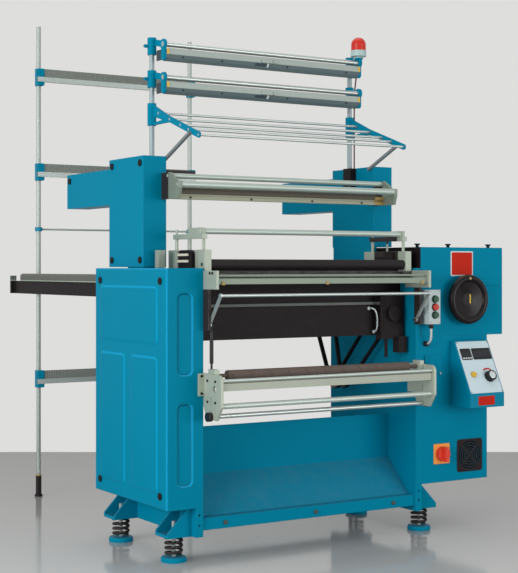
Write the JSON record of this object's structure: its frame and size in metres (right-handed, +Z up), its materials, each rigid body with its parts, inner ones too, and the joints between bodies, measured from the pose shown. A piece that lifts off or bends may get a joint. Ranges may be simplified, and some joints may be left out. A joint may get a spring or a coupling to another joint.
{
  "type": "crochet knitting machine",
  "caption": "Floor-standing crochet knitting machine with two side columns, knitting head, take-up, yarn guide racks, gearbox, console and sprung feet.",
  "frame": {"origin": "on the floor, under the middle of the whole machine with its rear rack", "axes": "+Z up, +X to the right as seen by the operator, -Y towards the operator"},
  "size_m": [1.56, 1.925, 2.149],
  "materials": {
    "blue_paint": "satin",
    "black_paint": "satin",
    "chrome": "polished",
    "steel": "satin",
    "alloy": "satin",
    "motor_paint": "satin",
    "black_rubber": "matt",
    "brown_cover": "matt",
    "red_plastic": "gloss",
    "green_plastic": "gloss",
    "yellow_plastic": "gloss",
    "black_plastic": "matt",
    "grey_plastic": "matt",
    "cable": "matt"
  },
  "bodies": {
    "machine": {"left_column": "blue_paint", "left_end_cover": "blue_paint", "right_side_frame": "blue_paint", "electric_cabinet": "blue_paint", "gearbox_housing": "blue_paint", "base_frame": "blue_paint", "tray_panel": "blue_paint", "left_upper_column": "blue_paint", "right_upper_column": "blue_paint", "stop_motion_brackets": "blue_paint", "rack_brackets": "blue_paint", "control_console": "blue_paint", "foot_pads": "blue_paint", "pole_clamps": "black_paint", "slide_blocks": "black_paint", "main_beam": "black_paint", "rear_ties": "black_paint", "cover_screws": "black_paint", "stop_motion_rods": "chrome", "guide_rods": "chrome", "takeup_bars": "chrome", "front_poles": "steel", "needle_bed": "steel", "front_rail": "steel", "beacon_base": "steel", "foot_springs": "steel", "rear_rack": "steel", "stop_motion_channels": "alloy", "rack_struts": "alloy", "weft_brackets": "alloy", "weft_rail_bar": "alloy", "presser_stands": "alloy", "rail_brackets": "alloy", "takeup_plates": "alloy", "drive_motor": "motor_paint", "drive_belts": "black_rubber", "beacon_dome": "red_plastic", "button_box": "grey_plastic", "button_cable": "cable"},
    "hatch": {"cabinet_hatch": "blue_paint"},
    "wheel": {"handwheel": "black_paint", "handwheel_shaft": "steel"},
    "shaft": {"main_shaft": "steel"},
    "head": {"head_pulley": "steel"},
    "motor_rotor": {"motor_pulley": "steel"},
    "feed": {"feed_roller": "black_rubber"},
    "takeup": {"takeup_roller": "brown_cover"},
    "weft_front": {"weft_roller_front": "chrome"},
    "weft_rear": {"weft_roller_rear": "steel"},
    "presser": {"presser_crossheads": "alloy"},
    "presser_spin": {"presser_roller": "chrome"},
    "needles": {"needle_bar": "steel"},
    "stopper": {"stop_bar": "chrome"},
    "tensioner": {"tension_bar": "chrome"},
    "start": {"start_button": "green_plastic"},
    "stop": {"stop_button": "red_plastic"},
    "jog": {"jog_button": "green_plastic"},
    "panel_button": {"console_button": "yellow_plastic"},
    "dial": {"speed_knob": "black_plastic"},
    "switch": {"main_switch_knob": "red_plastic"}
  },
  "joints": [
    {"name": "main_shaft_turn", "type": "hinge", "parent": "machine", "child": "shaft", "pos_m": [-0.176, -0.3225, 0.919], "axis": [1, 0, 0], "continuous": true},
    {"name": "handwheel_turn", "type": "hinge", "parent": "machine", "child": "wheel", "pos_m": [0.571, -0.8375, 0.919], "axis": [0, 1, 0], "continuous": true},
    {"name": "motor_turn", "type": "hinge", "parent": "machine", "child": "motor_rotor", "pos_m": [0.274, -0.4325, 0.59], "axis": [1, 0, 0], "continuous": true},
    {"name": "head_pulley_turn", "type": "hinge", "parent": "machine", "child": "head", "pos_m": [0.274, -0.6725, 0.83], "axis": [1, 0, 0], "continuous": true},
    {"name": "feed_roller_turn", "type": "hinge", "parent": "machine", "child": "feed", "pos_m": [-0.176, -0.8035, 1.057], "axis": [1, 0, 0], "continuous": true},
    {"name": "takeup_roller_turn", "type": "hinge", "parent": "machine", "child": "takeup", "pos_m": [-0.176, -0.8775, 0.663], "axis": [1, 0, 0], "continuous": true},
    {"name": "weft_roller_front_turn", "type": "hinge", "parent": "machine", "child": "weft_front", "pos_m": [-0.176, -0.6825, 1.35], "axis": [1, 0, 0], "continuous": true},
    {"name": "weft_roller_rear_turn", "type": "hinge", "parent": "machine", "child": "weft_rear", "pos_m": [-0.176, -0.6055, 1.385], "axis": [1, 0, 0], "continuous": true},
    {"name": "presser_lift", "type": "slide", "parent": "machine", "child": "presser", "axis": [0, 0, 1], "range_m": [0, 0.018]},
    {"name": "presser_roller_turn", "type": "hinge", "parent": "presser", "child": "presser_spin", "pos_m": [-0.176, -0.7775, 1.177], "axis": [1, 0, 0], "continuous": true},
    {"name": "needle_bar_stroke", "type": "slide", "parent": "machine", "child": "needles", "axis": [0, 1, 0], "range_m": [-0.007, 0.007]},
    {"name": "stop_bar_swing", "type": "hinge", "parent": "machine", "child": "stopper", "pos_m": [-0.176, -0.8565, 0.842], "axis": [1, 0, 0], "range_deg": [-20, 10]},
    {"name": "tension_bar_turn", "type": "hinge", "parent": "machine", "child": "tensioner", "pos_m": [-0.176, -0.8925, 0.521], "axis": [1, 0, 0], "continuous": true},
    {"name": "start_button_press", "type": "slide", "parent": "machine", "child": "start", "axis": [0, 1, 0], "range_m": [0, 0.004], "stiffness_N_per_m": 400},
    {"name": "stop_button_press", "type": "slide", "parent": "machine", "child": "stop", "axis": [0, 1, 0], "range_m": [0, 0.004], "stiffness_N_per_m": 400},
    {"name": "jog_button_press", "type": "slide", "parent": "machine", "child": "jog", "axis": [0, 1, 0], "range_m": [0, 0.004], "stiffness_N_per_m": 400},
    {"name": "console_button_press", "type": "slide", "parent": "machine", "child": "panel_button", "axis": [0, 0.9013, -0.4333], "range_m": [0, 0.003], "stiffness_N_per_m": 400},
    {"name": "speed_knob_turn", "type": "hinge", "parent": "machine", "child": "dial", "pos_m": [0.6295, -0.9265, 0.61048], "axis": [0, -0.9013, 0.4333], "range_deg": [-135, 135]},
    {"name": "main_switch_turn", "type": "hinge", "parent": "machine", "child": "switch", "pos_m": [0.459, -0.8375, 0.307], "axis": [0, 1, 0], "range_deg": [0, 90]},
    {"name": "hatch_swing", "type": "hinge", "parent": "machine", "child": "hatch", "pos_m": [0.377, -0.8425, 0.6], "axis": [0, 0, -1], "range_deg": [0, 110]}
  ],
  "couplings": [
    {"joint": "handwheel_turn", "follows": "main_shaft_turn", "ratio": -1},
    {"joint": "motor_turn", "follows": "main_shaft_turn", "ratio": 2},
    {"joint": "head_pulley_turn", "follows": "main_shaft_turn", "ratio": 1.6},
    {"joint": "feed_roller_turn", "follows": "main_shaft_turn", "ratio": 0.25},
    {"joint": "takeup_roller_turn", "follows": "main_shaft_turn", "ratio": 0.31},
    {"joint": "weft_roller_front_turn", "follows": "main_shaft_turn", "ratio": 0.4},
    {"joint": "weft_roller_rear_turn", "follows": "main_shaft_turn", "ratio": -0.5}
  ]
}
